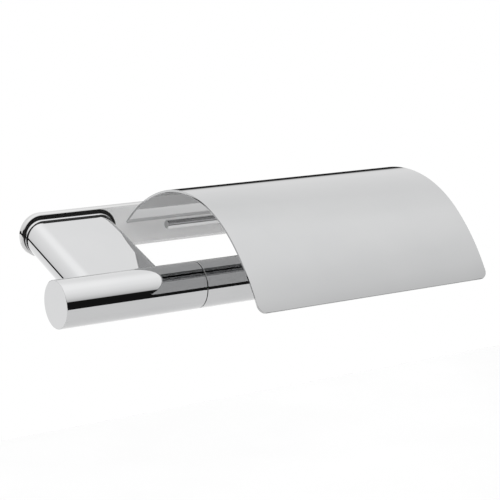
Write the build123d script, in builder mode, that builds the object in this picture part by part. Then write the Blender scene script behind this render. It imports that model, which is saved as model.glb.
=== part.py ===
from build123d import *
from math import cos, hypot, radians, sin
import os

os.makedirs("parts", exist_ok=True)

# Frame: X runs along the bar, +Y runs into the wall, +Z is up.
# The origin is the middle of the plate's back, on the wall. All sizes are in millimetres.

# Wall plate and the strip that hides behind it
plate_length = 200.0
plate_height = 23.0
plate_depth = 3.6
plate_edge_round = 1.6
strip_length = 182.0
strip_height = 15.0
strip_thickness = 1.8
wall_hole_spacing = 90.0
wall_hole_diameter = 5.0
head_pocket_diameter = 10.0
head_pocket_depth = 0.9

# Arm that slopes down from the plate to the bar
arm_centre_x = -72.35
arm_root_z = -1.2
arm_radius = 9.0
arm_round_spacing = 33.3
arm_slope = 0.373
arm_front_y = -62.0
foot_depth = 1.2
foot_grow = 0.5
foot_steps = 6
seat_radius = 10.4
seat_thickness = 0.3

# Peg in the arm's socket
peg_width = 32.0
peg_height = 8.5
peg_z = -3.25
peg_front_y = -14.0
peg_screw_spacing = 18.0
peg_screw_diameter = 4.0
peg_screw_head_diameter = 7.4
peg_screw_front_y = -12.0
arm_grub_spacing = 20.0
arm_grub_y = -9.0
arm_grub_diameter = 4.0
arm_grub_bottom_z = -11.6
arm_grub_top_z = -6.6
grub_socket_diameter = 2.0
grub_socket_depth = 1.6

# Bar: fixed left part, seam, turning right part
bar_y = -66.0
bar_z = -21.2
bar_radius = 12.0
bar_left_x = -114.0
seam_x = -35.3
end_cap_thickness = 2.0
end_cap_spigot = 6.0
hub_bore_diameter = 18.0
hub_web_left_x = -56.0
bar_edge_chamfer = 0.3

# Spindle inside the bar
spindle_diameter = 8.0
spindle_left_x = -54.0
spindle_right_x = 77.0
spindle_chamfer = 0.5
spindle_grub_x = -45.0
spindle_grub_diameter = 4.0
spindle_grub_length = 7.4
thrust_washer_thickness = 0.3
thrust_washer_diameter = 20.0
end_washer_thickness = 1.0
end_washer_diameter = 13.0
end_screw_diameter = 4.0
end_screw_depth = 12.0
end_screw_head_diameter = 7.0
end_screw_head_height = 2.6

# Roll tube and its bushes
tube_left_x = -34.8
tube_right_x = 85.0
tube_cap_thickness = 2.0
tube_cap_spigot = 1.4
tube_bore_diameter = 20.0
bush_bore_diameter = 8.1
bush_length = 10.0
right_bush_end_x = 76.6

# Hinge behind the cover
hinge_y = -10.3
hinge_z = -0.6
hinge_centre_x = 32.65
hinge_pin_diameter = 4.8
hinge_pin_length = 101.0
hinge_pin_chamfer = 0.4
block_width = 9.5
block_radius = 4.0
block_foot_top_z = -3.6
block_foot_bottom_z = -9.0
block_foot_front_y = -7.5
block_screw_spacing = 4.8
block_screw_z = -6.3
block_screw_diameter = 2.5
block_screw_head_diameter = 4.5
block_screw_head_depth = 1.0
block_screw_front_y = -9.0
pin_grub_diameter = 3.0
pin_grub_length = 2.8
knuckle_gap = 0.4
knuckle_width = 6.0
knuckle_radius = 4.3
liner_outer_diameter = 6.0
liner_bore_diameter = 4.9
heel_top_z = -2.6
heel_bottom_z = -5.6
heel_back_y = -4.45
pad_thickness = 0.8

# Cover sheet: a chain of arcs starting at its rear edge
cover_left_x = -39.5
cover_right_x = 104.8
cover_thickness = 1.2
cover_start_y = -4.7
cover_start_z = 2.43
cover_start_angle = 44.4
cover_arcs = ((85.9, 30.0), (67.5, 54.9), (105.0, 23.2))
cover_corner_radius = 4.5

# Derived places
plate_front_y = -plate_depth
seat_front_y = plate_front_y - seat_thickness
arm_axis_run = seat_front_y - arm_front_y
arm_start_z = arm_root_z - arm_slope * seat_thickness
block_left_x = hinge_centre_x - block_width / 2
block_right_x = hinge_centre_x + block_width / 2
left_knuckle_x = block_left_x - knuckle_gap - knuckle_width
right_knuckle_x = block_right_x + knuckle_gap
cover_width = cover_right_x - cover_left_x
bar_axis = (bar_y, bar_z)
hinge_axis = (hinge_y, hinge_z)
tube_cap_x = tube_right_x - tube_cap_thickness
hub_left_x = bar_left_x + end_cap_thickness


def sheet_side(offset):
    """Arcs of one side of the cover sheet, moved inward by offset."""
    angle = radians(cover_start_angle)
    y = cover_start_y - offset * sin(angle)
    z = cover_start_z - offset * cos(angle)
    arcs = []
    for radius, turn in cover_arcs:
        r = radius - offset
        y_centre = y - r * sin(angle)
        z_centre = z - r * cos(angle)
        points = [(y, z)]
        for part in (0.5, 1.0):
            a = angle - radians(turn) * part
            points.append((y_centre + r * sin(a), z_centre + r * cos(a)))
        arcs.append(points)
        angle = angle - radians(turn)
        y, z = points[-1]
    return arcs


def sheet_point(offset, run):
    """A point on the cover's first arc, offset inward, run millimetres from the rear edge."""
    angle = radians(cover_start_angle)
    radius = cover_arcs[0][0]
    y_centre = cover_start_y - radius * sin(angle)
    z_centre = cover_start_z - radius * cos(angle)
    a = angle - run / radius
    return (y_centre + (radius - offset) * sin(a), z_centre + (radius - offset) * cos(a))


def rod(centre, x_from, x_to, radius, mode=Mode.ADD):
    """A round rod along X through the point centre, given as (y, z)."""
    with BuildSketch(Plane.YZ.offset(x_from)) as section:
        with Locations(centre):
            Circle(radius)
    extrude(section.sketch, amount=x_to - x_from, mode=mode)


# --- Strip screwed to the wall -------------------------------------------------
with BuildPart() as wall_strip:
    with BuildSketch(Plane.XZ):
        SlotOverall(strip_length, strip_height)
        with GridLocations(wall_hole_spacing, 0, 2, 1):
            Circle(wall_hole_diameter / 2, mode=Mode.SUBTRACT)
        with Locations((arm_centre_x, peg_z)):
            with GridLocations(peg_screw_spacing, 0, 2, 1):
                Circle(peg_screw_diameter / 2, mode=Mode.SUBTRACT)
    extrude(amount=strip_thickness)
    with Locations(Plane.XZ):
        with Locations((arm_centre_x, peg_z)):
            with GridLocations(peg_screw_spacing, 0, 2, 1):
                Cone(
                    peg_screw_head_diameter / 2,
                    peg_screw_diameter / 2,
                    strip_thickness,
                    align=(Align.CENTER, Align.CENTER, Align.MIN),
                    mode=Mode.SUBTRACT,
                )
wall_strip.part.label = "wall_strip"
export_step(wall_strip.part, "parts/wall_strip.step")

# --- Peg that the arm slides over ----------------------------------------------
with BuildPart() as arm_peg:
    with BuildSketch(Plane.XZ.offset(strip_thickness)):
        with Locations((arm_centre_x, peg_z)):
            Rectangle(peg_width, peg_height)
            with GridLocations(peg_screw_spacing, 0, 2, 1):
                Circle(peg_screw_diameter / 2, mode=Mode.SUBTRACT)
    extrude(amount=-peg_front_y - strip_thickness)
    peg_bottom_z = peg_z - peg_height / 2
    with BuildSketch(Plane.XY.offset(peg_bottom_z)):
        with Locations((arm_centre_x, arm_grub_y)):
            with GridLocations(arm_grub_spacing, 0, 2, 1):
                Circle(arm_grub_diameter / 2)
    extrude(amount=arm_grub_top_z - peg_bottom_z, mode=Mode.SUBTRACT)
arm_peg.part.label = "arm_peg"
export_step(arm_peg.part, "parts/arm_peg.step")

# --- Two countersunk screws that hold the peg to the strip ----------------------
with BuildPart() as peg_screws:
    with Locations(Plane.XZ):
        with Locations((arm_centre_x, peg_z)):
            with GridLocations(peg_screw_spacing, 0, 2, 1):
                Cone(
                    peg_screw_head_diameter / 2,
                    peg_screw_diameter / 2,
                    strip_thickness,
                    align=(Align.CENTER, Align.CENTER, Align.MIN),
                )
                Cylinder(
                    peg_screw_diameter / 2,
                    -peg_screw_front_y,
                    align=(Align.CENTER, Align.CENTER, Align.MIN),
                )
                Cylinder(
                    grub_socket_diameter / 2,
                    grub_socket_depth,
                    align=(Align.CENTER, Align.CENTER, Align.MIN),
                    mode=Mode.SUBTRACT,
                )
peg_screws.part.label = "peg_screws"
export_step(peg_screws.part, "parts/peg_screws.step")

# --- Long plate with round ends -------------------------------------------------
with BuildPart() as wall_plate:
    with BuildSketch(Plane.XZ):
        SlotOverall(plate_length, plate_height)
    extrude(amount=plate_depth)
    fillet(wall_plate.edges().group_by(Axis.Y)[0], radius=plate_edge_round)
    with BuildSketch(Plane.XZ):
        SlotOverall(strip_length, strip_height)
    extrude(amount=strip_thickness, mode=Mode.SUBTRACT)
    with BuildSketch(Plane.XZ):
        with Locations((arm_centre_x, peg_z)):
            Rectangle(peg_width, peg_height)
    extrude(amount=plate_depth, mode=Mode.SUBTRACT)
    with BuildSketch(Plane.XZ):
        with GridLocations(wall_hole_spacing, 0, 2, 1):
            Circle(head_pocket_diameter / 2)
    extrude(amount=strip_thickness + head_pocket_depth, mode=Mode.SUBTRACT)
    with Locations(Plane.XZ.offset(strip_thickness)):
        with Locations((hinge_centre_x, block_screw_z)):
            with GridLocations(block_screw_spacing, 0, 2, 1):
                Cone(
                    block_screw_head_diameter / 2,
                    block_screw_diameter / 2,
                    block_screw_head_depth,
                    align=(Align.CENTER, Align.CENTER, Align.MIN),
                    mode=Mode.SUBTRACT,
                )
                Cylinder(
                    block_screw_diameter / 2,
                    plate_depth - strip_thickness,
                    align=(Align.CENTER, Align.CENTER, Align.MIN),
                    mode=Mode.SUBTRACT,
                )
wall_plate.part.label = "wall_plate"
export_step(wall_plate.part, "parts/wall_plate.step")

# --- Thin black ring between the plate and the arm --------------------------------
with BuildPart() as seat_ring:
    with BuildSketch(Plane.XZ.offset(plate_depth)):
        with Locations((arm_centre_x, 0)):
            SlotCenterToCenter(arm_round_spacing, 2 * seat_radius)
        with Locations((arm_centre_x, peg_z)):
            Rectangle(peg_width, peg_height, mode=Mode.SUBTRACT)
    extrude(amount=seat_thickness)
seat_ring.part.label = "seat_ring"
export_step(seat_ring.part, "parts/seat_ring.step")

# --- Arm: a thick slab with round sides and a small round where it meets its seat --
with BuildPart() as arm:
    with BuildSketch(Plane.XZ.offset(-seat_front_y)):
        with Locations((arm_centre_x, arm_start_z)):
            SlotCenterToCenter(arm_round_spacing, 2 * arm_radius)
    extrude(amount=arm_axis_run * hypot(1, arm_slope), dir=(0, -1, -arm_slope))
    for step in range(foot_steps + 1):
        turn = radians(90 * step / foot_steps)
        depth = foot_depth * (1 - cos(turn))
        grow = foot_grow * (1 - sin(turn))
        with BuildSketch(Plane.XZ.offset(depth - seat_front_y)):
            with Locations((arm_centre_x, arm_start_z - arm_slope * depth)):
                SlotCenterToCenter(arm_round_spacing, 2 * (arm_radius + grow))
    loft(ruled=True)
    rod(bar_axis, bar_left_x, seam_x, bar_radius, mode=Mode.SUBTRACT)
    with BuildSketch(Plane.XZ.offset(-seat_front_y)):
        with Locations((arm_centre_x, peg_z)):
            Rectangle(peg_width, peg_height)
    extrude(amount=seat_front_y - peg_front_y, mode=Mode.SUBTRACT)
    with BuildSketch(Plane.XY.offset(-plate_height)):
        with Locations((arm_centre_x, arm_grub_y)):
            with GridLocations(arm_grub_spacing, 0, 2, 1):
                Circle(arm_grub_diameter / 2)
    extrude(amount=plate_height + peg_z, mode=Mode.SUBTRACT)
arm.part.label = "arm"
export_step(arm.part, "parts/arm.step")

# --- Two grub screws that clamp the arm onto its peg ----------------------------
with BuildPart() as arm_grub_screws:
    with BuildSketch(Plane.XY.offset(arm_grub_bottom_z)):
        with Locations((arm_centre_x, arm_grub_y)):
            with GridLocations(arm_grub_spacing, 0, 2, 1):
                Circle(arm_grub_diameter / 2)
    extrude(amount=arm_grub_top_z - arm_grub_bottom_z)
    with BuildSketch(Plane.XY.offset(arm_grub_bottom_z)):
        with Locations((arm_centre_x, arm_grub_y)):
            with GridLocations(arm_grub_spacing, 0, 2, 1):
                RegularPolygon(grub_socket_diameter / 2, 6)
    extrude(amount=grub_socket_depth, mode=Mode.SUBTRACT)
arm_grub_screws.part.label = "arm_grub_screws"
export_step(arm_grub_screws.part, "parts/arm_grub_screws.step")

# --- Fixed left part of the bar -------------------------------------------------
with BuildPart() as bar_hub:
    rod(bar_axis, hub_left_x, seam_x, bar_radius)
    chamfer(bar_hub.edges().group_by(Axis.X)[-1], length=bar_edge_chamfer)
    rod(bar_axis, hub_left_x, hub_web_left_x, hub_bore_diameter / 2, mode=Mode.SUBTRACT)
    rod(bar_axis, hub_web_left_x, seam_x, spindle_diameter / 2, mode=Mode.SUBTRACT)
    with BuildSketch(Plane.XY.offset(bar_z - bar_radius)):
        with Locations((spindle_grub_x, bar_y)):
            Circle(spindle_grub_diameter / 2)
    extrude(amount=bar_radius - spindle_diameter / 4, mode=Mode.SUBTRACT)
bar_hub.part.label = "bar_hub"
export_step(bar_hub.part, "parts/bar_hub.step")

# --- Flat disc that closes the bar's left end -----------------------------------
with BuildPart() as hub_end_cap:
    rod(bar_axis, bar_left_x, hub_left_x, bar_radius)
    chamfer(hub_end_cap.edges().group_by(Axis.X)[0], length=bar_edge_chamfer)
    rod(bar_axis, hub_left_x, hub_left_x + end_cap_spigot, hub_bore_diameter / 2)
hub_end_cap.part.label = "hub_end_cap"
export_step(hub_end_cap.part, "parts/hub_end_cap.step")

# --- Steel spindle the roll tube turns on ---------------------------------------
with BuildPart() as spindle:
    rod(bar_axis, spindle_left_x, spindle_right_x, spindle_diameter / 2)
    chamfer(spindle.edges().group_by(Axis.X)[0], length=spindle_chamfer)
    chamfer(spindle.edges().group_by(Axis.X)[-1], length=spindle_chamfer)
    rod(
        bar_axis,
        spindle_right_x - end_screw_depth,
        spindle_right_x,
        end_screw_diameter / 2,
        mode=Mode.SUBTRACT,
    )
spindle.part.label = "spindle"
export_step(spindle.part, "parts/spindle.step")

# --- Grub screw under the bar that clamps the spindle ----------------------------
with BuildPart() as spindle_grub_screw:
    spindle_grub_bottom_z = bar_z - spindle_diameter / 2 - spindle_grub_length
    with BuildSketch(Plane.XY.offset(spindle_grub_bottom_z)):
        with Locations((spindle_grub_x, bar_y)):
            Circle(spindle_grub_diameter / 2)
    extrude(amount=spindle_grub_length)
    with BuildSketch(Plane.XY.offset(spindle_grub_bottom_z)):
        with Locations((spindle_grub_x, bar_y)):
            RegularPolygon(grub_socket_diameter / 2, 6)
    extrude(amount=grub_socket_depth, mode=Mode.SUBTRACT)
spindle_grub_screw.part.label = "spindle_grub_screw"
export_step(spindle_grub_screw.part, "parts/spindle_grub_screw.step")

# --- Thin washer in the seam between the fixed and the turning part ---------------
with BuildPart() as thrust_washer:
    washer_end_x = seam_x + thrust_washer_thickness
    rod(bar_axis, seam_x, washer_end_x, thrust_washer_diameter / 2)
    rod(bar_axis, seam_x, washer_end_x, spindle_diameter / 2, mode=Mode.SUBTRACT)
thrust_washer.part.label = "thrust_washer"
export_step(thrust_washer.part, "parts/thrust_washer.step")

# --- Washer and screw that keep the tube on the spindle ---------------------------
with BuildPart() as end_washer:
    end_washer_right_x = spindle_right_x + end_washer_thickness
    rod(bar_axis, spindle_right_x, end_washer_right_x, end_washer_diameter / 2)
    rod(bar_axis, spindle_right_x, end_washer_right_x, end_screw_diameter / 2, mode=Mode.SUBTRACT)
end_washer.part.label = "end_washer"
export_step(end_washer.part, "parts/end_washer.step")

with BuildPart() as end_screw:
    end_screw_top_x = end_washer_right_x + end_screw_head_height
    rod(bar_axis, spindle_right_x - end_screw_depth, end_washer_right_x, end_screw_diameter / 2)
    rod(bar_axis, end_washer_right_x, end_screw_top_x, end_screw_head_diameter / 2)
    chamfer(end_screw.edges().group_by(Axis.X)[-1], length=spindle_chamfer)
    with BuildSketch(Plane.YZ.offset(end_screw_top_x)):
        with Locations(bar_axis):
            RegularPolygon(grub_socket_diameter / 2, 6)
    extrude(amount=-grub_socket_depth, mode=Mode.SUBTRACT)
end_screw.part.label = "end_screw"
export_step(end_screw.part, "parts/end_screw.step")

# --- Turning tube that carries the paper roll -------------------------------------
with BuildPart() as roll_tube:
    rod(bar_axis, tube_left_x, tube_cap_x, bar_radius)
    chamfer(roll_tube.edges().group_by(Axis.X)[0], length=bar_edge_chamfer)
    rod(bar_axis, tube_left_x, tube_cap_x, tube_bore_diameter / 2, mode=Mode.SUBTRACT)
roll_tube.part.label = "roll_tube"
export_step(roll_tube.part, "parts/roll_tube.step")

with BuildPart() as left_bush:
    rod(bar_axis, tube_left_x, tube_left_x + bush_length, tube_bore_diameter / 2)
    rod(bar_axis, tube_left_x, tube_left_x + bush_length, bush_bore_diameter / 2, mode=Mode.SUBTRACT)
left_bush.part.label = "left_bush"
export_step(left_bush.part, "parts/left_bush.step")

with BuildPart() as right_bush:
    right_bush_x = right_bush_end_x - bush_length
    rod(bar_axis, right_bush_x, right_bush_end_x, tube_bore_diameter / 2)
    rod(bar_axis, right_bush_x, right_bush_end_x, bush_bore_diameter / 2, mode=Mode.SUBTRACT)
right_bush.part.label = "right_bush"
export_step(right_bush.part, "parts/right_bush.step")

with BuildPart() as tube_end_cap:
    rod(bar_axis, tube_cap_x, tube_right_x, bar_radius)
    chamfer(tube_end_cap.edges().group_by(Axis.X)[-1], length=bar_edge_chamfer)
    rod(bar_axis, tube_cap_x - tube_cap_spigot, tube_cap_x, tube_bore_diameter / 2)
tube_end_cap.part.label = "tube_end_cap"
export_step(tube_end_cap.part, "parts/tube_end_cap.step")

# --- Fixed block that holds the hinge pin in front of the plate --------------------
with BuildPart() as hinge_block:
    with BuildSketch(Plane.YZ.offset(block_left_x)):
        with Locations(hinge_axis):
            Circle(block_radius)
        Polygon(
            (plate_front_y, block_foot_top_z),
            (hinge_y + block_radius / 2, block_foot_top_z),
            hinge_axis,
            (hinge_y - block_radius * cos(radians(45)), hinge_z - block_radius * sin(radians(45))),
            (block_foot_front_y, block_foot_bottom_z),
            (plate_front_y, block_foot_bottom_z),
            align=None,
        )
    extrude(amount=block_width)
    rod(hinge_axis, block_left_x, block_right_x, hinge_pin_diameter / 2, mode=Mode.SUBTRACT)
    with BuildSketch(Plane.XZ.offset(plate_depth)):
        with Locations((hinge_centre_x, block_screw_z)):
            with GridLocations(block_screw_spacing, 0, 2, 1):
                Circle(block_screw_diameter / 2)
    extrude(amount=-block_screw_front_y - plate_depth, mode=Mode.SUBTRACT)
    with BuildSketch(Plane.XY.offset(block_foot_bottom_z)):
        with Locations((hinge_centre_x, hinge_y)):
            Circle(pin_grub_diameter / 2)
    extrude(amount=hinge_z - block_foot_bottom_z, mode=Mode.SUBTRACT)
hinge_block.part.label = "hinge_block"
export_step(hinge_block.part, "parts/hinge_block.step")

# --- Two countersunk screws from behind the plate into the block --------------------
with BuildPart() as block_screws:
    with Locations(Plane.XZ.offset(strip_thickness)):
        with Locations((hinge_centre_x, block_screw_z)):
            with GridLocations(block_screw_spacing, 0, 2, 1):
                Cone(
                    block_screw_head_diameter / 2,
                    block_screw_diameter / 2,
                    block_screw_head_depth,
                    align=(Align.CENTER, Align.CENTER, Align.MIN),
                )
                Cylinder(
                    block_screw_diameter / 2,
                    -block_screw_front_y - strip_thickness,
                    align=(Align.CENTER, Align.CENTER, Align.MIN),
                )
block_screws.part.label = "block_screws"
export_step(block_screws.part, "parts/block_screws.step")

# --- Hinge pin and the grub screw that holds it --------------------------------------
with BuildPart() as hinge_pin:
    pin_left_x = hinge_centre_x - hinge_pin_length / 2
    rod(hinge_axis, pin_left_x, pin_left_x + hinge_pin_length, hinge_pin_diameter / 2)
    chamfer(hinge_pin.edges().filter_by(GeomType.CIRCLE), length=hinge_pin_chamfer)
hinge_pin.part.label = "hinge_pin"
export_step(hinge_pin.part, "parts/hinge_pin.step")

with BuildPart() as pin_grub_screw:
    pin_grub_top_z = hinge_z - hinge_pin_diameter / 2
    with BuildSketch(Plane.XY.offset(pin_grub_top_z)):
        with Locations((hinge_centre_x, hinge_y)):
            Circle(pin_grub_diameter / 2)
    extrude(amount=-pin_grub_length)
pin_grub_screw.part.label = "pin_grub_screw"
export_step(pin_grub_screw.part, "parts/pin_grub_screw.step")

# --- Two soft pads the closed cover rests on -------------------------------------------
with BuildPart() as stop_pads:
    for pad_x in (left_knuckle_x, right_knuckle_x):
        with BuildSketch(Plane.XZ.offset(plate_depth)):
            with Locations((pad_x + knuckle_width / 2, (heel_top_z + heel_bottom_z) / 2)):
                Rectangle(knuckle_width, heel_top_z - heel_bottom_z)
        extrude(amount=pad_thickness)
stop_pads.part.label = "stop_pads"
export_step(stop_pads.part, "parts/stop_pads.step")

# --- Bent cover sheet ----------------------------------------------------------------------
with BuildPart() as cover_sheet:
    outer = sheet_side(0)
    inner = sheet_side(cover_thickness)
    with BuildSketch(Plane.YZ.offset(cover_left_x)):
        with BuildLine():
            for start, middle, end in outer:
                ThreePointArc(start, middle, end)
            Line(outer[-1][-1], inner[-1][-1])
            for start, middle, end in inner:
                ThreePointArc(start, middle, end)
            Line(inner[0][0], outer[0][0])
        make_face()
    extrude(amount=cover_width)
    short_edges = cover_sheet.edges().filter_by(GeomType.LINE)
    short_edges = short_edges.filter_by(lambda edge: edge.length < 2 * cover_thickness)
    fillet(short_edges.sort_by(Axis.Z)[:2], radius=cover_corner_radius)
cover_sheet.part.label = "cover_sheet"
export_step(cover_sheet.part, "parts/cover_sheet.step")

# --- Two knuckles under the sheet, each with a heel that meets its pad -----------------------
for knuckle_name, knuckle_x in (("left_knuckle", left_knuckle_x), ("right_knuckle", right_knuckle_x)):
    with BuildPart() as knuckle:
        with BuildSketch(Plane.YZ.offset(knuckle_x)):
            with Locations(hinge_axis):
                Circle(knuckle_radius)
            Polygon(
                sheet_point(cover_thickness / 2, 1),
                sheet_point(cover_thickness / 2, 5),
                sheet_point(cover_thickness / 2, 9),
                (hinge_y - knuckle_radius, hinge_z),
                hinge_axis,
                (hinge_y + knuckle_radius * cos(radians(20)), hinge_z + knuckle_radius * sin(radians(20))),
                align=None,
            )
            Polygon(
                (hinge_y, hinge_z - knuckle_radius),
                (heel_back_y - (heel_top_z - heel_bottom_z), heel_bottom_z),
                (heel_back_y, heel_bottom_z),
                (heel_back_y, heel_top_z),
                (hinge_y + knuckle_radius / 2, heel_top_z),
                align=None,
            )
        extrude(amount=knuckle_width)
        rod(
            hinge_axis,
            knuckle_x,
            knuckle_x + knuckle_width,
            liner_outer_diameter / 2,
            mode=Mode.SUBTRACT,
        )
        add(cover_sheet.part, mode=Mode.SUBTRACT)
    knuckle.part.label = knuckle_name
    export_step(knuckle.part, f"parts/{knuckle_name}.step")

# --- Plastic liners pressed into the knuckles ----------------------------------------------------
with BuildPart() as knuckle_liners:
    for liner_x in (left_knuckle_x, right_knuckle_x):
        rod(hinge_axis, liner_x, liner_x + knuckle_width, liner_outer_diameter / 2)
        rod(hinge_axis, liner_x, liner_x + knuckle_width, liner_bore_diameter / 2, mode=Mode.SUBTRACT)
knuckle_liners.part.label = "knuckle_liners"
export_step(knuckle_liners.part, "parts/knuckle_liners.step")
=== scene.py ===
from math import asin, cos, degrees, pi, radians, sin, sqrt

import bmesh
import bpy
from mathutils import Matrix, Vector


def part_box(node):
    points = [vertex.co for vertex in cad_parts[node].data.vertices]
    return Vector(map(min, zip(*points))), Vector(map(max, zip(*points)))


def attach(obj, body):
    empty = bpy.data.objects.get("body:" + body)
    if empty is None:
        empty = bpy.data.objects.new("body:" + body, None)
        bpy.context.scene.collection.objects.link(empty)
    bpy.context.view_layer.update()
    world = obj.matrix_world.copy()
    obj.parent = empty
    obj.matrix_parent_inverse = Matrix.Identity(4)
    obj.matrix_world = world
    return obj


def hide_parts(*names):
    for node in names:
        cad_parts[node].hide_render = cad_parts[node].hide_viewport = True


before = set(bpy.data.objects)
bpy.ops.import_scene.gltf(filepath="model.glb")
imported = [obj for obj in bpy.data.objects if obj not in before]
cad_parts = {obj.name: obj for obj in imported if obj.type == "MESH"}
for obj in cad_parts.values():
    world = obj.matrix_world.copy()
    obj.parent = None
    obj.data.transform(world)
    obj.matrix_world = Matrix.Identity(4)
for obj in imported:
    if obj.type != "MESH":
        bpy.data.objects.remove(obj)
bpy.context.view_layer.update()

# --- Strip on the wall ------------------------------------------------------------
# A flat strip of zinc-plated steel, stamped with two wall holes and two countersinks.
# It is screwed to the wall first, and everything else hangs on it.


def start_finish(name):
    """A new material with its shader and its place-on-the-piece coordinates."""
    finish = bpy.data.materials.new(name)
    finish.use_nodes = True
    shader = finish.node_tree.nodes["Principled BSDF"]
    place = finish.node_tree.nodes.new("ShaderNodeTexCoord")
    return finish, finish.node_tree, shader, place.outputs["Object"]


def grain(tree, place, stretch, scale, detail=4.0, rough=0.55):
    """Noise over the piece, stretched along the axes by three factors."""
    stretcher = tree.nodes.new("ShaderNodeMapping")
    stretcher.inputs["Scale"].default_value = stretch
    tree.links.new(place, stretcher.inputs["Vector"])
    noise = tree.nodes.new("ShaderNodeTexNoise")
    noise.inputs["Scale"].default_value = scale
    noise.inputs["Detail"].default_value = detail
    noise.inputs["Roughness"].default_value = rough
    tree.links.new(stretcher.outputs["Vector"], noise.inputs["Vector"])
    return noise.outputs["Fac"]


def tint(tree, amount, shader, low, high, spread=(0.35, 0.65)):
    """Colours the shader between two tones by the amount of grain."""
    ramp = tree.nodes.new("ShaderNodeValToRGB")
    ramp.color_ramp.elements[0].position = spread[0]
    ramp.color_ramp.elements[0].color = (*low, 1.0)
    ramp.color_ramp.elements[1].position = spread[1]
    ramp.color_ramp.elements[1].color = (*high, 1.0)
    tree.links.new(amount, ramp.inputs["Fac"])
    tree.links.new(ramp.outputs["Color"], shader.inputs["Base Color"])


def sheen_range(tree, amount, shader, low, high):
    """Lets the roughness run between two values with the grain."""
    spread = tree.nodes.new("ShaderNodeMapRange")
    spread.inputs["From Min"].default_value = 0.3
    spread.inputs["From Max"].default_value = 0.7
    spread.inputs["To Min"].default_value = low
    spread.inputs["To Max"].default_value = high
    tree.links.new(amount, spread.inputs["Value"])
    tree.links.new(spread.outputs["Result"], shader.inputs["Roughness"])


def relief(tree, amount, shader, strength, depth):
    """Turns the grain into a shallow relief of the surface."""
    bump = tree.nodes.new("ShaderNodeBump")
    bump.inputs["Strength"].default_value = strength
    bump.inputs["Distance"].default_value = depth
    tree.links.new(amount, bump.inputs["Height"])
    tree.links.new(bump.outputs["Normal"], shader.inputs["Normal"])


def dress(node, finish):
    """Gives a frame part its finish."""
    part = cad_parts[node]
    if not part.material_slots:
        part.data.materials.append(finish)
    for place in part.material_slots:
        place.material = finish


zinc, tree, shader, place = start_finish("zinc_plated_strip")
shader.inputs["Metallic"].default_value = 1.0
tint(tree, grain(tree, place, (1, 1, 1), 90.0), shader, (0.42, 0.44, 0.47), (0.58, 0.59, 0.60))
sheen_range(tree, grain(tree, place, (6, 60, 60), 40.0), shader, 0.28, 0.46)
relief(tree, grain(tree, place, (1, 1, 1), 1400.0), shader, 0.25, 0.00004)
dress("wall_strip", zinc)

# --- Peg and its screws --------------------------------------------------------------
# A sawn and milled block of bare brass on the strip, held from behind by two
# countersunk stainless screws. The arm's socket slides over it.
brass, tree, shader, place = start_finish("milled_brass")
shader.inputs["Metallic"].default_value = 1.0
tint(tree, grain(tree, place, (1, 1, 1), 160.0), shader, (0.50, 0.34, 0.12), (0.66, 0.48, 0.20))
sheen_range(tree, grain(tree, place, (8, 200, 8), 30.0), shader, 0.20, 0.38)
relief(tree, grain(tree, place, (4, 300, 4), 20.0), shader, 0.3, 0.00003)
dress("arm_peg", brass)

screw_steel, tree, shader, place = start_finish("stainless_screws")
shader.inputs["Metallic"].default_value = 1.0
tint(tree, grain(tree, place, (1, 1, 1), 420.0), shader, (0.36, 0.36, 0.37), (0.52, 0.52, 0.52))
sheen_range(tree, grain(tree, place, (1, 1, 1), 900.0), shader, 0.22, 0.42)
relief(tree, grain(tree, place, (1, 1, 1), 2600.0), shader, 0.2, 0.00003)
dress("peg_screws", screw_steel)

# --- Long plate with round ends --------------------------------------------------------
# Cast brass plate, ground flat, its front edge rounded over and polished, its face left
# satin, then chromed. The face's near-white, nearly non-metal colour is painted reflection,
# standing in for the even light tone that the chrome face reflects. Its back is hollowed so that it drops over the
# strip.


def slot_outline(centre_x, centre_z, y, half_run, radius, turns=28):
    """Points round a slot shape standing across Y, from its top left, clockwise from the front."""
    points = []
    for side in (1, -1):
        for k in range(turns + 1):
            a = pi / 2 - side * pi * k / turns if side == 1 else -pi / 2 - pi * k / turns
            points.append(
                Vector((centre_x + side * half_run + radius * cos(a), y, centre_z + radius * sin(a)))
            )
    return points


def skin(name, rings, ends=True, loop=False):
    """A mesh object stretched over rings of points, closed at both ends or joined into a loop."""
    shape = bmesh.new()
    rows = [[shape.verts.new(p) for p in ring] for ring in rings]
    pairs = list(zip(rows, rows[1:]))
    if loop:
        pairs.append((rows[-1], rows[0]))
    for a, b in pairs:
        for k in range(len(a)):
            shape.faces.new((a[k - 1], a[k], b[k], b[k - 1]))
    if ends and not loop:
        shape.faces.new(rows[0])
        shape.faces.new(rows[-1])
    bmesh.ops.recalc_face_normals(shape, faces=shape.faces)
    mesh = bpy.data.meshes.new(name)
    shape.to_mesh(mesh)
    shape.free()
    piece = bpy.data.objects.new(name, mesh)
    bpy.context.scene.collection.objects.link(piece)
    return piece


def cut(piece, *tools):
    """Takes the tool shapes out of the piece and puts the tools away."""
    for tool in tools:
        knife = piece.modifiers.new("cut", "BOOLEAN")
        knife.operation = "DIFFERENCE"
        knife.solver = "EXACT"
        knife.object = tool
    bpy.context.view_layer.update()
    done = bpy.data.meshes.new_from_object(piece.evaluated_get(bpy.context.evaluated_depsgraph_get()))
    piece.modifiers.clear()
    piece.data = done
    for tool in tools:
        bpy.data.objects.remove(tool)


def polish(piece, finish, body, slot, *nodes, crease=38, mirrored=True):
    """Smooth shading that keeps flats flat, the finish, and the frame calls of one piece.

    mirrored=False leaves the piece out of what the chrome round it reflects.
    """
    piece.data.materials.clear()
    piece.data.materials.append(finish)
    piece.data.shade_smooth()
    piece.data.set_sharp_from_angle(angle=radians(crease))
    even = piece.modifiers.new("even shine", "WEIGHTED_NORMAL")
    even.keep_sharp = True
    even.weight = 100
    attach(piece, body)
    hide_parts(*nodes)
    piece.visible_glossy = mirrored


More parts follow.
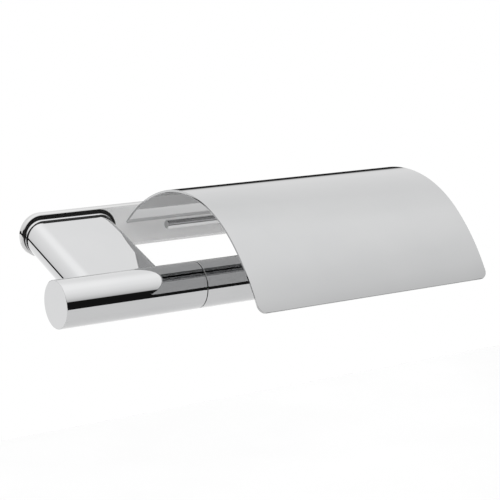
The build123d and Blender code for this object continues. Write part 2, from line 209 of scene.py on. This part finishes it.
def chrome(name, low, high, lines, wave):
    """Polished chrome plate: faint clouds in tone, buffing lines in the gloss, a trace of waviness."""
    finish, tree, shader, place = start_finish(name)
    shader.inputs["Metallic"].default_value = 1.0
    tint(tree, grain(tree, place, (1, 1, 1), 24.0, 3.0), shader, low, high)
    sheen_range(tree, grain(tree, place, lines, 30.0), shader, 0.012, 0.034)
    relief(tree, grain(tree, place, (1, 1, 1), 16.0, 1.0), shader, wave, 0.0004)
    return finish


plate_chrome, tree, shader, place = start_finish("plate_chrome")
low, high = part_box("wall_plate")
relief(tree, grain(tree, place, (2, 30, 30), 900.0, 2.0), shader, 0.02, 0.00002)
depths = tree.nodes.new("ShaderNodeSeparateXYZ")
tree.links.new(place, depths.inputs["Vector"])
on_painted_face = tree.nodes.new("ShaderNodeMapRange")
on_painted_face.inputs["From Min"].default_value = low.y + 0.00010
on_painted_face.inputs["From Max"].default_value = low.y + 0.00001
tree.links.new(depths.outputs["Y"], on_painted_face.inputs["Value"])


def edge_to_face(tree, on_painted_face, socket, edge_low, edge_high, face_low, face_high, stretch, scale):
    """Feeds a socket with one grainy range on the polished edge and another on the satin face; on the face, base
    colour and metallic carry painted reflection.
    """
    picks = []
    amount = grain(tree, place, stretch, scale)
    for least, most in ((edge_low, edge_high), (face_low, face_high)):
        spread = tree.nodes.new("ShaderNodeMapRange")
        spread.inputs["From Min"].default_value = 0.3
        spread.inputs["From Max"].default_value = 0.7
        spread.inputs["To Min"].default_value = least
        spread.inputs["To Max"].default_value = most
        tree.links.new(amount, spread.inputs["Value"])
        picks.append(spread.outputs["Result"])
    mix = tree.nodes.new("ShaderNodeMix")
    tree.links.new(on_painted_face, mix.inputs["Factor"])
    tree.links.new(picks[0], mix.inputs["A"])
    tree.links.new(picks[1], mix.inputs["B"])
    tree.links.new(mix.outputs["Result"], socket)


edge_to_face(
    tree, on_painted_face.outputs["Result"], shader.inputs["Roughness"], 0.012, 0.034, 0.34, 0.42, (2, 30, 30), 40.0
)
# On the face, metallic 0.08 to 0.12 and base colour 0.94 to 0.95: painted reflection, a light grey standing in for
# the tone that the chrome face reflects.
edge_to_face(
    tree, on_painted_face.outputs["Result"], shader.inputs["Metallic"], 1.0, 1.0, 0.08, 0.12, (1, 1, 1), 24.0
)
edge_to_face(
    tree, on_painted_face.outputs["Result"], shader.inputs["Base Color"], 0.542, 0.558, 0.94, 0.95, (1, 1, 1), 24.0
)

plate_radius = (high.z - low.z) / 2
plate_half_run = (high.x - low.x) / 2 - plate_radius
plate_mid_x = (high.x + low.x) / 2
plate_front = low.y
edge_round = 0.0016
back_break = 0.0002
strip_low, strip_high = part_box("wall_strip")
hollow_radius = (strip_high.z - strip_low.z) / 2
hollow_half_run = (strip_high.x - strip_low.x) / 2 - hollow_radius
hollow_depth = strip_low.y

rings = [
    slot_outline(plate_mid_x, 0, hollow_depth, hollow_half_run, hollow_radius),
    slot_outline(plate_mid_x, 0, 0, hollow_half_run, hollow_radius),
    slot_outline(plate_mid_x, 0, 0, plate_half_run, plate_radius - back_break),
    slot_outline(plate_mid_x, 0, -back_break, plate_half_run, plate_radius),
]
for k in range(13):
    a = radians(90 * k / 12)
    rings.append(
        slot_outline(
            plate_mid_x,
            0,
            plate_front + edge_round * (1 - sin(a)),
            plate_half_run,
            plate_radius - edge_round * (1 - cos(a)),
        )
    )
plate = skin("plate", rings)
polish(plate, plate_chrome, "holder", "plate_chrome", "wall_plate")

# --- Black ring under the arm, painted shade --------------------------------------------------
# A thin near-black ring between the plate and the arm's foot, which shows as a dark line over the arm.
# It is painted shade: a dark thing put where the dark line at the arm's root is only shade.
ring_shade_black, tree, shader, place = start_finish("near_black_painted_shade")
# Near-black tone of the ring: painted shade for the dark line at the arm's root.
tint(tree, grain(tree, place, (1, 1, 1), 700.0), shader, (0.006, 0.006, 0.006), (0.016, 0.016, 0.016))
sheen_range(tree, grain(tree, place, (1, 1, 1), 1200.0), shader, 0.42, 0.58)
shader.inputs["Specular IOR Level"].default_value = 0.25
relief(tree, grain(tree, place, (1, 1, 1), 2600.0), shader, 0.2, 0.00003)
dress("seat_ring", ring_shade_black)

# --- Arm ------------------------------------------------------------------------------------
# A thick cast brass slab with round sides, sloping down from the plate to the bar.
# Its root flares onto the plate, its front is soldered round the back of the bar, all chromed.
arm_chrome = chrome("arm_chrome", (0.542, 0.545, 0.550), (0.558, 0.560, 0.564), (30, 3, 30), 0.05)

arm_low, arm_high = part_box("arm")
arm_back = arm_high.y
arm_radius = 0.0090
arm_half_run = 0.03330 / 2
arm_mid_x = (arm_low.x + arm_high.x) / 2
arm_slope = 0.373
arm_root_z = -0.0012
foot_depth = 0.0012
foot_grow = 0.0005
solder_round = 0.0011

hub_low, hub_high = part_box("bar_hub")
bar_radius = (hub_high.z - hub_low.z) / 2
bar_y = (hub_high.y + hub_low.y) / 2
bar_z = (hub_high.z + hub_low.z) / 2

rings = []
for k in range(13):
    a = radians(90 * k / 12)
    depth = plate_front - arm_back + foot_depth * (1 - cos(a))
    rings.append(
        slot_outline(
            arm_mid_x,
            arm_root_z - arm_slope * depth,
            plate_front - depth,
            arm_half_run,
            arm_radius + foot_grow * (1 - sin(a)),
            40,
        )
    )
along = Vector((0, -1, -arm_slope)).normalized()
start = rings[-1]
corner_ring = []
for p in start:
    # where this edge line of the slab meets the round of the bar
    y, z = p.y - bar_y, p.z - bar_z
    b = y * along.y + z * along.z
    c = y * y + z * z - bar_radius * bar_radius
    q = along.y * along.y + along.z * along.z
    reach = (-b - sqrt(b * b - q * c)) / q
    corner_ring.append(p + along * reach)
for share in (0.33, 0.66):
    rings.append([p + (e - along * solder_round - p) * share for p, e in zip(start, corner_ring)])
feather_ring = []
count = len(corner_ring)
for k, e in enumerate(corner_ring):
    run = corner_ring[(k + 1) % count] - corner_ring[k - 1]
    up = Vector((0, e.y - bar_y, e.z - bar_z)).normalized()
    away = up.cross(run).normalized()
    if away.dot(e - Vector((arm_mid_x, e.y, e.z))) < 0 and abs(e.x - arm_mid_x) > arm_half_run:
        away = -away
    feather_ring.append(e + away * solder_round)
for k, f in enumerate(feather_ring):
    spoke = Vector((0, f.y - bar_y, f.z - bar_z))
    spoke = spoke.normalized() * (bar_radius + 0.00001)
    feather_ring[k] = Vector((f.x, bar_y + spoke.y, bar_z + spoke.z))
for k in range(9):
    t = k / 8
    rings.append(
        [
            (e - along * solder_round) * (1 - t) ** 2 + e * 2 * t * (1 - t) + f * t * t
            for e, f in zip(corner_ring, feather_ring)
        ]
    )
rings.append([e + along * 0.0012 for e in corner_ring])
arm = skin("arm_casting", rings)


def lathe(name, stations, centre_y, centre_z, turns=144, loop=False):
    """A turned piece round a line along X, from (place along X, radius) stations."""
    rings = []
    for x, r in stations:
        ring = []
        for k in range(turns):
            a = 2 * pi * k / turns
            ring.append(Vector((x, centre_y + r * cos(a), centre_z + r * sin(a))))
        rings.append(ring)
    return skin(name, rings, loop=loop)


def upright_pin(name, x, y, z_from, z_to, r, turns=40):
    """A round tool standing along Z, for holes drilled from below."""
    rings = []
    for z in (z_from, z_to):
        rings.append(
            [Vector((x + r * cos(2 * pi * k / turns), y + r * sin(2 * pi * k / turns), z)) for k in range(turns)]
        )
    return skin(name, rings)


low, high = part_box("arm_grub_screws")
grub_radius = (high.y - low.y) / 2
tools = []
for x in (low.x + grub_radius, high.x - grub_radius):
    tools.append(upright_pin("drill", x, (low.y + high.y) / 2, low.z - 0.004, high.z, grub_radius + 0.00005))
cut(arm, *tools)
polish(arm, arm_chrome, "holder", "arm_chrome", "arm")
dress("arm_grub_screws", screw_steel)

# --- Fixed left part of the bar -----------------------------------------------------------------
# Turned brass, bored from the left, closed by a flat disc, then chromed with the arm.
# The spindle's grub screw comes up from below near the seam.
bar_chrome = chrome("bar_chrome", (0.542, 0.545, 0.550), (0.558, 0.560, 0.564), (60, 2, 2), 0.01)


def broken_edge(x, r, size, way, steps=5):
    """Stations for a small rounded edge at the end of a turned piece; way is -1 left, 1 right."""
    stations = []
    for k in range(steps + 1):
        a = radians(90 * k / steps)
        stations.append((x - way * size * (1 - cos(a)), r - size * (1 - sin(a))))
    return stations if way == -1 else stations[::-1]


cap_low, cap_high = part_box("hub_end_cap")
spindle_low, spindle_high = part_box("spindle")
spindle_radius = (spindle_high.z - spindle_low.z) / 2
hub_bore = 0.009
hub_web_x = -0.056
seam_edge = 0.00012
stations = [(hub_low.x, hub_bore), (hub_low.x, bar_radius)]
stations += broken_edge(hub_high.x, bar_radius, seam_edge, 1)
stations += [(hub_high.x, spindle_radius), (hub_web_x, spindle_radius), (hub_web_x, hub_bore)]
hub = lathe("bar_fixed_part", stations, bar_y, bar_z, loop=True)
low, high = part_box("spindle_grub_screw")
grub_radius = (high.y - low.y) / 2
grub_x = (low.x + high.x) / 2
cut(hub, upright_pin("drill", grub_x, bar_y, low.z - 0.004, high.z, grub_radius + 0.00005))
polish(hub, bar_chrome, "holder", "bar_chrome", "bar_hub")

cap_edge = 0.0003
stations = broken_edge(cap_low.x, bar_radius, cap_edge, -1)
stations += [(hub_low.x, bar_radius), (hub_low.x, hub_bore), (cap_high.x, hub_bore)]
end_disc = lathe("bar_end_disc", stations, bar_y, bar_z)
polish(end_disc, bar_chrome, "holder", "bar_chrome", "hub_end_cap")

# --- Spindle and what holds the tube on it -----------------------------------------------------------
# Drawn stainless rod clamped in the fixed part, a thin nylon washer in the seam,
# and a washer and screw at the free end. Only their edges can ever be seen.
drawn_steel, tree, shader, place = start_finish("drawn_stainless")
shader.inputs["Metallic"].default_value = 1.0
tint(tree, grain(tree, place, (1, 12, 12), 60.0), shader, (0.46, 0.46, 0.47), (0.60, 0.60, 0.61))
sheen_range(tree, grain(tree, place, (2, 120, 120), 30.0), shader, 0.18, 0.34)
relief(tree, grain(tree, place, (2, 200, 200), 30.0), shader, 0.2, 0.00002)
dress("spindle", drawn_steel)

nylon, tree, shader, place = start_finish("natural_nylon")
shader.inputs["Subsurface Weight"].default_value = 0.15
shader.inputs["Subsurface Scale"].default_value = 0.001
tint(tree, grain(tree, place, (1, 1, 1), 300.0), shader, (0.72, 0.71, 0.66), (0.82, 0.81, 0.77))
sheen_range(tree, grain(tree, place, (1, 1, 1), 900.0), shader, 0.38, 0.52)
relief(tree, grain(tree, place, (1, 1, 1), 2200.0), shader, 0.2, 0.00003)
dress("thrust_washer", nylon)
for node in ("spindle_grub_screw", "end_washer", "end_screw"):
    dress(node, screw_steel)

# --- Turning roll tube ----------------------------------------------------------------------------------
# Thin brass tube on two pressed-in nylon bushes, closed by a flat disc, polished and chromed.
# It turns on the spindle, a hair away from the fixed part.
tube_chrome = chrome("tube_chrome", (0.542, 0.545, 0.550), (0.558, 0.560, 0.564), (60, 2, 2), 0.01)

tube_low, tube_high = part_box("roll_tube")
bush_low, bush_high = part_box("left_bush")
tube_bore = (bush_high.z - bush_low.z) / 2
tube_play = 0.0001
stations = [(tube_low.x, tube_bore)]
stations += broken_edge(tube_low.x, bar_radius, seam_edge, -1)
stations += [(tube_high.x, bar_radius), (tube_high.x, tube_bore)]
tube = lathe("roll_tube_skin", stations, bar_y, bar_z, loop=True)
polish(tube, tube_chrome, "tube", "tube_chrome", "roll_tube")

low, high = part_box("tube_end_cap")
stations = [(low.x, tube_bore - tube_play), (tube_high.x, tube_bore - tube_play), (tube_high.x, bar_radius)]
stations += broken_edge(high.x, bar_radius, cap_edge, 1)
tube_disc = lathe("tube_end_disc", stations, bar_y, bar_z)
polish(tube_disc, tube_chrome, "tube", "tube_chrome", "tube_end_cap")
dress("left_bush", nylon)
dress("right_bush", nylon)

# --- Hinge block and pin ----------------------------------------------------------------------------------
# A small cast block screwed to the plate from behind holds a long turned pin,
# locked by a grub screw from below. Two soft pads beside it are glued to the plate.
# Pin and block are left out of the reflections, as the knuckles are.
hinge_chrome = chrome("hinge_chrome", (0.545, 0.548, 0.553), (0.565, 0.567, 0.571), (20, 6, 20), 0.03)

pin_low, pin_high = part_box("hinge_pin")
pin_radius = (pin_high.z - pin_low.z) / 2
pin_y = (pin_high.y + pin_low.y) / 2
pin_z = (pin_high.z + pin_low.z) / 2
pin_edge = 0.0004
stations = broken_edge(pin_low.x, pin_radius, pin_edge, -1)
stations += broken_edge(pin_high.x, pin_radius, pin_edge, 1)
pin = lathe("hinge_rod", stations, pin_y, pin_z, 96)
polish(pin, hinge_chrome, "holder", "hinge_chrome", "hinge_pin", mirrored=False)


def slab(name, outline, x_from, x_to, edge):
    """A profile in the Y and Z plane, given thickness along X with broken edges."""
    piece = skin(name, [[Vector((x, y, z)) for y, z in outline] for x in (x_from, x_to)])
    soften = piece.modifiers.new("broken edges", "BEVEL")
    soften.width = edge
    soften.segments = 3
    soften.limit_method = "ANGLE"
    soften.angle_limit = radians(50)
    bpy.context.view_layer.update()
    done = bpy.data.meshes.new_from_object(piece.evaluated_get(bpy.context.evaluated_depsgraph_get()))
    piece.modifiers.clear()
    piece.data = done
    return piece


def barrel(centre_y, centre_z, radius, from_deg, to_deg, steps):
    """Points on a round in the Y and Z plane."""
    points = []
    for k in range(steps + 1):
        a = radians(from_deg + (to_deg - from_deg) * k / steps)
        points.append((centre_y + radius * cos(a), centre_z + radius * sin(a)))
    return points


block_low, block_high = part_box("hinge_block")
block_radius = 0.0040
foot_top = -0.0036
# the foot's top is flat until it meets the round, which leaves room for the sheet's edge
foot_meets = degrees(asin((foot_top - pin_z) / block_radius))
outline = barrel(pin_y, pin_z, block_radius, foot_meets, 225, 44)
outline += [(-0.0075, block_low.z), (block_high.y, block_low.z), (block_high.y, foot_top)]
block = slab("hinge_holder", outline, block_low.x, block_high.x, 0.0003)
polish(block, hinge_chrome, "holder", "hinge_chrome", "hinge_block", mirrored=False)
dress("block_screws", screw_steel)
dress("pin_grub_screw", screw_steel)

silicone, tree, shader, place = start_finish("grey_silicone")
tint(tree, grain(tree, place, (1, 1, 1), 500.0), shader, (0.40, 0.40, 0.40), (0.50, 0.50, 0.50))
sheen_range(tree, grain(tree, place, (1, 1, 1), 1200.0), shader, 0.45, 0.65)
relief(tree, grain(tree, place, (1, 1, 1), 3000.0), shader, 0.3, 0.00003)
dress("stop_pads", silicone)

# --- Cover sheet ---------------------------------------------------------------------------------------------
# One sheet of brass, sheared, its two front corners rounded, rolled to the curve of a
# full roll of paper, polished on both sides and chromed. Its knuckles are soldered under it.
cover_chrome = chrome("cover_chrome", (0.472, 0.475, 0.479), (0.486, 0.488, 0.491), (2, 40, 40), 0.02)

cover_low, cover_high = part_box("cover_sheet")
sheet_thickness = 0.0012
sheet_corner = 0.0045
sheet_edge = 0.00022
sheet_start = Vector((0, -0.0047, 0.00243))
sheet_start_angle = 44.4
sheet_bends = ((0.0859, 30.0), (0.0675, 54.9), (0.1050, 23.2))
sheet_length = sum(radius * radians(turn) for radius, turn in sheet_bends)


def on_sheet(run):
    """The outer face's point and outward direction at a run from the rear edge."""
    angle = radians(sheet_start_angle)
    y, z = sheet_start.y, sheet_start.z
    for radius, turn in sheet_bends:
        step = min(run, radius * radians(turn))
        mid_y, mid_z = y - radius * sin(angle), z - radius * cos(angle)
        angle -= step / radius
        y, z = mid_y + radius * sin(angle), mid_z + radius * cos(angle)
        run -= step
        if run <= 0:
            break
    return Vector((0, y, z)), Vector((0, sin(angle), cos(angle)))


def sheet_ring(run, inset):
    """One row round the sheet: outer face, right edge, inner face, left edge."""
    point, out = on_sheet(run)
    to_front = sheet_length - run
    corner = 0.0
    if to_front < sheet_corner:
        corner = sheet_corner - sqrt(max(sheet_corner**2 - (sheet_corner - to_front) ** 2, 0.0))
    left = cover_low.x + corner + inset
    right = cover_high.x - corner - inset
    ring = []
    columns = 20
    for k in range(columns + 1):
        x = left + sheet_edge + (right - left - 2 * sheet_edge) * k / columns
        ring.append(point - out * inset + Vector((x, 0, 0)))
    for k in range(1, 5):
        a = radians(90 * k / 4)
        ring.append(
            point
            - out * (inset + sheet_edge * (1 - cos(a)))
            + Vector((right - sheet_edge * (1 - sin(a)), 0, 0))
        )
    depth = sheet_thickness - inset
    for k in range(5):
        a = radians(90 * k / 4)
        ring.append(
            point
            - out * (depth - sheet_edge * (1 - sin(a)))
            + Vector((right - sheet_edge * (1 - cos(a)), 0, 0))
        )
    for k in range(1, columns + 1):
        x = right - sheet_edge - (right - left - 2 * sheet_edge) * k / columns
        ring.append(point - out * depth + Vector((x, 0, 0)))
    for k in range(1, 5):
        a = radians(90 * k / 4)
        ring.append(
            point
            - out * (depth - sheet_edge * (1 - cos(a)))
            + Vector((left + sheet_edge * (1 - sin(a)), 0, 0))
        )
    for k in range(4):
        a = radians(90 * k / 4)
        ring.append(
            point
            - out * (inset + sheet_edge * (1 - sin(a)))
            + Vector((left + sheet_edge * (1 - cos(a)), 0, 0))
        )
    return ring


rings = []
for k in range(5):
    a = radians(90 * k / 4)
    rings.append(sheet_ring(sheet_edge * (1 - cos(a)), sheet_edge * (1 - sin(a))))
rows = 150
body_end = sheet_length - sheet_corner
for k in range(1, rows + 1):
    rings.append(sheet_ring(sheet_edge + (body_end - sheet_edge) * k / rows, 0))
for k in range(1, 15):
    a = radians(90 * k / 14)
    rings.append(sheet_ring(body_end + (sheet_corner - sheet_edge) * sin(a), 0))
for k in range(1, 5):
    a = radians(90 * k / 4)
    rings.append(sheet_ring(sheet_length - sheet_edge * (1 - sin(a)), sheet_edge * (1 - cos(a))))
cover = skin("cover_sheet_skin", rings)
polish(cover, cover_chrome, "cover", "cover_chrome", "cover_sheet")

# --- Knuckles and liners --------------------------------------------------------------------------------------
# Two turned and milled brass eyes soldered under the sheet's rear edge, chromed,
# each with a heel that meets its pad and a nylon liner that turns on the pin.
dress("left_knuckle", hinge_chrome)
dress("right_knuckle", hinge_chrome)
dress("knuckle_liners", nylon)
for node in ("left_knuckle", "right_knuckle", "knuckle_liners"):
    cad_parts[node].visible_glossy = False

# --- Floor, light and camera ---------------------------------------------------------------------------------------
# A plain white floor well below, a broad light overhead, and dark studio walls at the
# horizon, which draw the dark lines that polished chrome shows. The camera sees white.
floor_z = -0.50
floor_mesh = bpy.data.meshes.new("floor")
floor_mesh.from_pydata(
    [(-3.0, -1.5, floor_z), (3.0, -1.5, floor_z), (3.0, 1.1, floor_z), (-3.0, 1.1, floor_z)],
    [],
    [(0, 1, 2, 3)],
)
floor = bpy.data.objects.new("floor", floor_mesh)
bpy.context.scene.collection.objects.link(floor)
floor_finish, tree, shader, place = start_finish("white_floor")
tint(tree, grain(tree, place, (1, 1, 1), 3.0), shader, (0.77, 0.77, 0.77), (0.79, 0.79, 0.79))
shader.inputs["Roughness"].default_value = 0.9
shader.inputs["Specular IOR Level"].default_value = 0.1
shader.inputs["Emission Color"].default_value = (1.0, 1.0, 1.0, 1.0)
shader.inputs["Emission Strength"].default_value = 0.05
facing = tree.nodes.new("ShaderNodeNewGeometry")
clear = tree.nodes.new("ShaderNodeBsdfTransparent")
choose = tree.nodes.new("ShaderNodeMixShader")
tree.links.new(facing.outputs["Backfacing"], choose.inputs["Fac"])
tree.links.new(shader.outputs["BSDF"], choose.inputs[1])
tree.links.new(clear.outputs["BSDF"], choose.inputs[2])
tree.links.new(choose.outputs["Shader"], tree.nodes["Material Output"].inputs["Surface"])
floor_mesh.materials.append(floor_finish)

studio = bpy.data.worlds.new("studio")
bpy.context.scene.world = studio
studio.use_nodes = True
tree = studio.node_tree
tree.nodes.clear()
look = tree.nodes.new("ShaderNodeTexCoord")
axes = tree.nodes.new("ShaderNodeSeparateXYZ")
tree.links.new(look.outputs["Generated"], axes.inputs["Vector"])
height = tree.nodes.new("ShaderNodeMapRange")
height.inputs["From Min"].default_value = -1.0
height.inputs["From Max"].default_value = 1.0
tree.links.new(axes.outputs["Z"], height.inputs["Value"])


def wall_of_light(steps):
    """Brightness by height, from (height from -1 to 1, brightness) steps; brightness is halved to fit a ramp."""
    ramp = tree.nodes.new("ShaderNodeValToRGB")
    places = ramp.color_ramp.elements
    places.remove(places[1])
    for number, (z, glow) in enumerate(steps):
        place = places.new((z + 1) / 2) if number else places[0]
        place.position = (z + 1) / 2
        place.color = (glow / 2, glow / 2, glow / 2, 1.0)
    tree.links.new(height.outputs["Result"], ramp.inputs["Fac"])
    return ramp.outputs["Color"]


def blend_by(axis, start, end, first, second):
    """Goes from the first side's light to the second's as the axis value runs from start to end."""
    share = tree.nodes.new("ShaderNodeMapRange")
    share.interpolation_type = "SMOOTHSTEP"
    share.inputs["From Min"].default_value = start
    share.inputs["From Max"].default_value = end
    tree.links.new(axes.outputs[axis], share.inputs["Value"])
    mix = tree.nodes.new("ShaderNodeMix")
    mix.data_type = "RGBA"
    tree.links.new(share.outputs["Result"], mix.inputs["Factor"])
    tree.links.new(first, mix.inputs[6])
    tree.links.new(second, mix.inputs[7])
    return mix.outputs[2]


front = wall_of_light(
    [
        (-0.55, 1.0), (-0.45, 0.012), (0.262, 0.012), (0.275, 0.62), (0.31, 0.76), (0.37, 0.86),
        (0.455, 1.0), (0.567, 1.14), (0.666, 1.22), (0.757, 1.32), (0.824, 1.37), (0.883, 1.47), (1.0, 1.40),
    ]
)
back = wall_of_light(
    [
        (-0.55, 1.0), (-0.44, 0.12), (-0.10, 0.08), (0.00, 0.012), (0.12, 0.02), (0.145, 0.45), (0.19, 0.94),
        (0.25, 1.05), (0.338, 1.12), (0.50, 1.18), (0.70, 1.22), (0.80, 1.30), (0.883, 1.47), (1.0, 1.42),
    ]
)
left = wall_of_light(
    [
        (-0.08, 1.18), (-0.07, 0.012), (0.05, 0.012), (0.06, 1.00), (0.30, 1.12), (0.50, 1.18),
        (0.70, 1.24), (0.80, 1.32), (0.883, 1.47), (1.0, 1.42),
    ]
)
behind = blend_by("X", 0.52, 0.42, back, left)
round_view = blend_by("Y", -0.12, 0.12, front, behind)
glow = tree.nodes.new("ShaderNodeBackground")
glow.inputs["Strength"].default_value = 2.0
tree.links.new(round_view, glow.inputs["Color"])
plain = tree.nodes.new("ShaderNodeBackground")
plain.inputs["Color"].default_value = (1.0, 1.0, 1.0, 1.0)
plain.inputs["Strength"].default_value = 1.0
ray = tree.nodes.new("ShaderNodeLightPath")
choose = tree.nodes.new("ShaderNodeMixShader")
tree.links.new(ray.outputs["Is Camera Ray"], choose.inputs["Fac"])
tree.links.new(glow.outputs["Background"], choose.inputs[1])
tree.links.new(plain.outputs["Background"], choose.inputs[2])
out = tree.nodes.new("ShaderNodeOutputWorld")
tree.links.new(choose.outputs["Shader"], out.inputs["Surface"])

eye = bpy.data.cameras.new("camera")
eye.lens = 115.93
eye.sensor_width = 36.0
camera = bpy.data.objects.new("camera", eye)
turn = Matrix.Rotation(radians(-34.336), 4, "Z")
tilt = Matrix.Rotation(radians(90 - 11.357), 4, "X")
roll = Matrix.Rotation(radians(0.105), 4, "Z")
camera.matrix_world = Matrix.Translation((-0.459887, -0.736985, 0.156148)) @ turn @ tilt @ roll
bpy.context.scene.collection.objects.link(camera)
bpy.context.scene.camera = camera
bpy.context.scene.view_settings.view_transform = "Standard"
